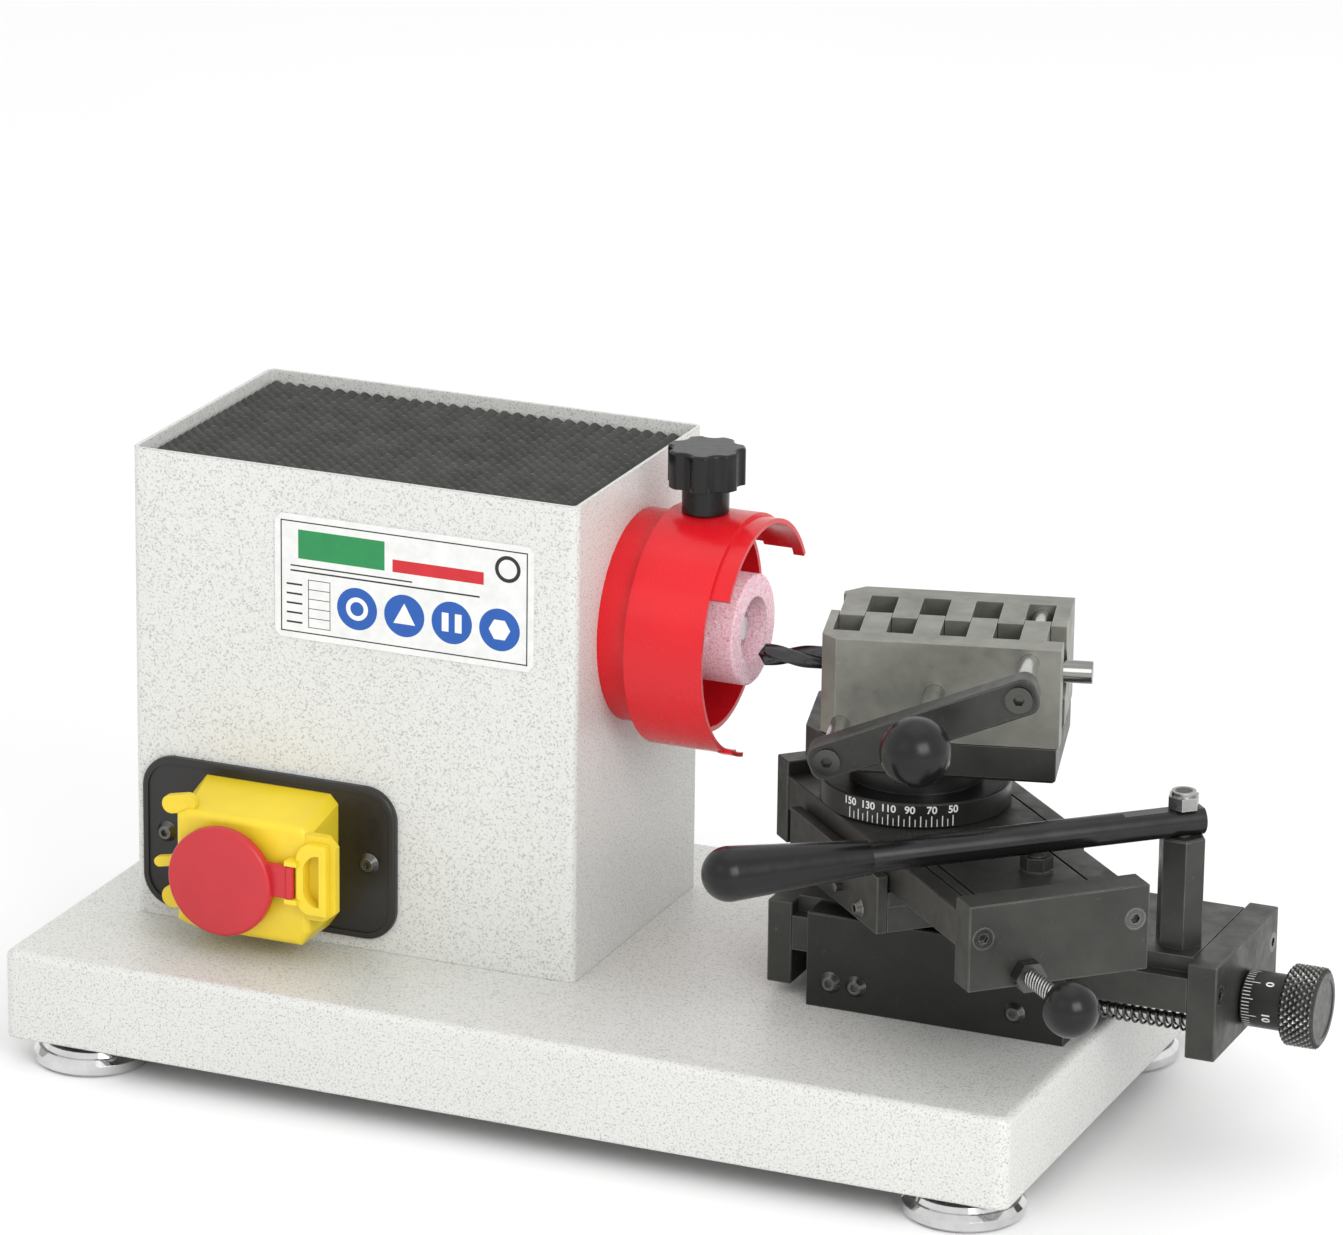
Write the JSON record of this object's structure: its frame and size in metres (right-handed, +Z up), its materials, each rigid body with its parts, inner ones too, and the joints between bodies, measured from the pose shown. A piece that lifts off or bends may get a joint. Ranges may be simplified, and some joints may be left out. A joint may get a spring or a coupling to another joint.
{
  "type": "drill bit sharpener",
  "caption": "Bench grinder with a cup wheel in a sliding guard and a swivelling comb vise on a lever-driven cross slide that presents a twist drill.",
  "frame": {"origin": "middle of the overall outline, on the surface the feet stand on", "axes": "+X along the spindle from the motor box to the feed knob, +Y to the back away from the operator, +Z up"},
  "size_m": [0.5976, 0.3103, 0.2991],
  "materials": {
    "paint_white": "fine textured powder coat with dark flecks",
    "paint_red": "gloss enamel",
    "chrome_feet": "polished",
    "mat_rubber": "matte with moulded pyramids",
    "label_plate": "satin printed plate",
    "motor_paint": "satin",
    "bearing_steel": "ground",
    "laminated_iron": "machined laminations",
    "inner_plastic": "satin",
    "black_plate": "satin moulding",
    "yellow_plastic": "satin moulding",
    "red_plastic": "satin moulding",
    "green_plastic": "satin moulding",
    "black_screws": "black oxide",
    "shaft_steel": "ground",
    "abrasive": "coarse vitrified grain",
    "knob_black": "polished",
    "blackened_steel": "black oxide, ground",
    "brass_nut": "machined",
    "bright_steel": "turned",
    "spring_steel": "oiled",
    "jaw_steel": "ground",
    "drill_steel": "steam oxide, polished"
  },
  "bodies": {
    "frame": {"base_pan": "paint_white", "foot_brackets": "paint_white", "levelling_feet": "chrome_feet", "motor_box": "paint_white", "rubber_mat": "mat_rubber", "rating_plate": "label_plate", "motor_cradle": "motor_paint", "motor_casing": "motor_paint", "motor_bearings": "bearing_steel", "motor_stator": "laminated_iron", "motor_electrics": "inner_plastic", "cable_gland": "inner_plastic", "switch_plate": "black_plate", "switch_body": "inner_plastic", "switch_housing": "yellow_plastic", "button_screws": "black_screws", "guard_collar": "paint_red", "block_floor": "blackened_steel", "block_cheeks": "blackened_steel", "feed_nut": "brass_nut"},
    "spindle": {"motor_rotor": "laminated_iron", "rotor_shaft": "shaft_steel", "cooling_fan": "inner_plastic", "grinding_wheel": "abrasive", "wheel_nut": "shaft_steel"},
    "guard": {"guard_cap": "paint_red"},
    "guard_clamp": {"guard_knob": "knob_black"},
    "paddle": {"stop_paddle": "red_plastic"},
    "start_key": {"start_button": "green_plastic"},
    "stop_key": {"stop_button": "red_plastic"},
    "feed": {"feed_slide": "blackened_steel", "feed_end_plates": "blackened_steel", "feed_unit_screws": "black_screws", "guide_rods": "bright_steel", "return_springs": "spring_steel", "lever_post": "blackened_steel", "lever_nut": "bright_steel", "cross_guide": "blackened_steel", "guide_cheeks": "blackened_steel", "cross_gibs": "blackened_steel"},
    "feed_dial": {"feed_screw": "bright_steel", "index_sleeve": "blackened_steel", "feed_knob": "blackened_steel"},
    "lever": {"hand_lever": "blackened_steel", "lever_grip": "knob_black"},
    "cross": {"cross_slide": "blackened_steel", "cross_end_plates": "blackened_steel", "cross_plate_screws": "black_screws", "follower_bolt": "blackened_steel"},
    "cross_stop": {"stop_screw": "bright_steel", "stop_ball": "knob_black"},
    "swivel": {"swivel_dial": "blackened_steel", "vise_base": "blackened_steel", "rear_jaw": "jaw_steel", "guide_pins": "bright_steel", "bridge_bar": "blackened_steel"},
    "jaw": {"front_jaw": "jaw_steel"},
    "clamp": {"clamp_screw": "bright_steel", "clamp_ball": "knob_black"},
    "drill": {"twist_drill": "drill_steel"}
  },
  "joints": [
    {"name": "spindle_turn", "type": "hinge", "parent": "frame", "child": "spindle", "pos_m": [-0.03915, 0.02655, 0.2141], "axis": [1, 0, 0], "continuous": true},
    {"name": "guard_slide", "type": "slide", "parent": "frame", "child": "guard", "axis": [1, 0, 0], "range_m": [-0.005, 0.006]},
    {"name": "guard_knob_turn", "type": "hinge", "parent": "frame", "child": "guard_clamp", "pos_m": [-0.00685, 0.02655, 0.2685], "axis": [0, 0, 1], "range_deg": [0, 270]},
    {"name": "paddle_hinge", "type": "hinge", "parent": "frame", "child": "paddle", "pos_m": [-0.16605, -0.0851, 0.09885], "axis": [0, 0, 1], "range_deg": [0, 90]},
    {"name": "start_press", "type": "slide", "parent": "frame", "child": "start_key", "axis": [0, 1, 0], "range_m": [0, 0.0025], "stiffness_N_per_m": 900},
    {"name": "stop_press", "type": "slide", "parent": "frame", "child": "stop_key", "axis": [0, 1, 0], "range_m": [0, 0.0025], "stiffness_N_per_m": 900},
    {"name": "feed_travel", "type": "slide", "parent": "frame", "child": "feed", "axis": [1, 0, 0], "range_m": [-0.004, 0.006]},
    {"name": "feed_screw_turn", "type": "hinge", "parent": "feed", "child": "feed_dial", "pos_m": [0.28235, 0.02655, 0.0731], "axis": [1, 0, 0], "range_deg": [-1442, 2162]},
    {"name": "lever_swing", "type": "hinge", "parent": "feed", "child": "lever", "pos_m": [0.23515, 0.00735, 0.1601], "axis": [0, 0, 1], "range_deg": [-4.1, 12.2]},
    {"name": "cross_travel", "type": "slide", "parent": "feed", "child": "cross", "axis": [0.7071, -0.7071, 0], "range_m": [-0.005, 0.015]},
    {"name": "stop_screw_turn", "type": "hinge", "parent": "cross", "child": "cross_stop", "pos_m": [0.19914, -0.09557, 0.1169], "axis": [0.7071, -0.7071, 0], "range_deg": [-360, 360]},
    {"name": "vise_swivel", "type": "hinge", "parent": "cross", "child": "swivel", "pos_m": [0.09965, 0.02655, 0.1449], "axis": [0, 0, 1], "range_deg": [-8, 25]},
    {"name": "jaw_travel", "type": "slide", "parent": "swivel", "child": "jaw", "axis": [0.2588, -0.9659, 0], "range_m": [0, 0.012]},
    {"name": "clamp_screw_turn", "type": "hinge", "parent": "jaw", "child": "clamp", "pos_m": [0.12069, -0.0087, 0.2082], "axis": [0.2588, -0.9659, 0], "range_deg": [-2, 2882]},
    {"name": "drill_set", "type": "slide", "parent": "swivel", "child": "drill", "axis": [0.9659, 0.2588, 0], "range_m": [0, 0.03]}
  ],
  "couplings": [
    {"joint": "feed_screw_turn", "follows": "feed_travel", "rad_per_m": 6283.2},
    {"joint": "lever_swing", "follows": "cross_travel", "rad_per_m": 14.03},
    {"joint": "clamp_screw_turn", "follows": "jaw_travel", "rad_per_m": 4188.8}
  ]
}
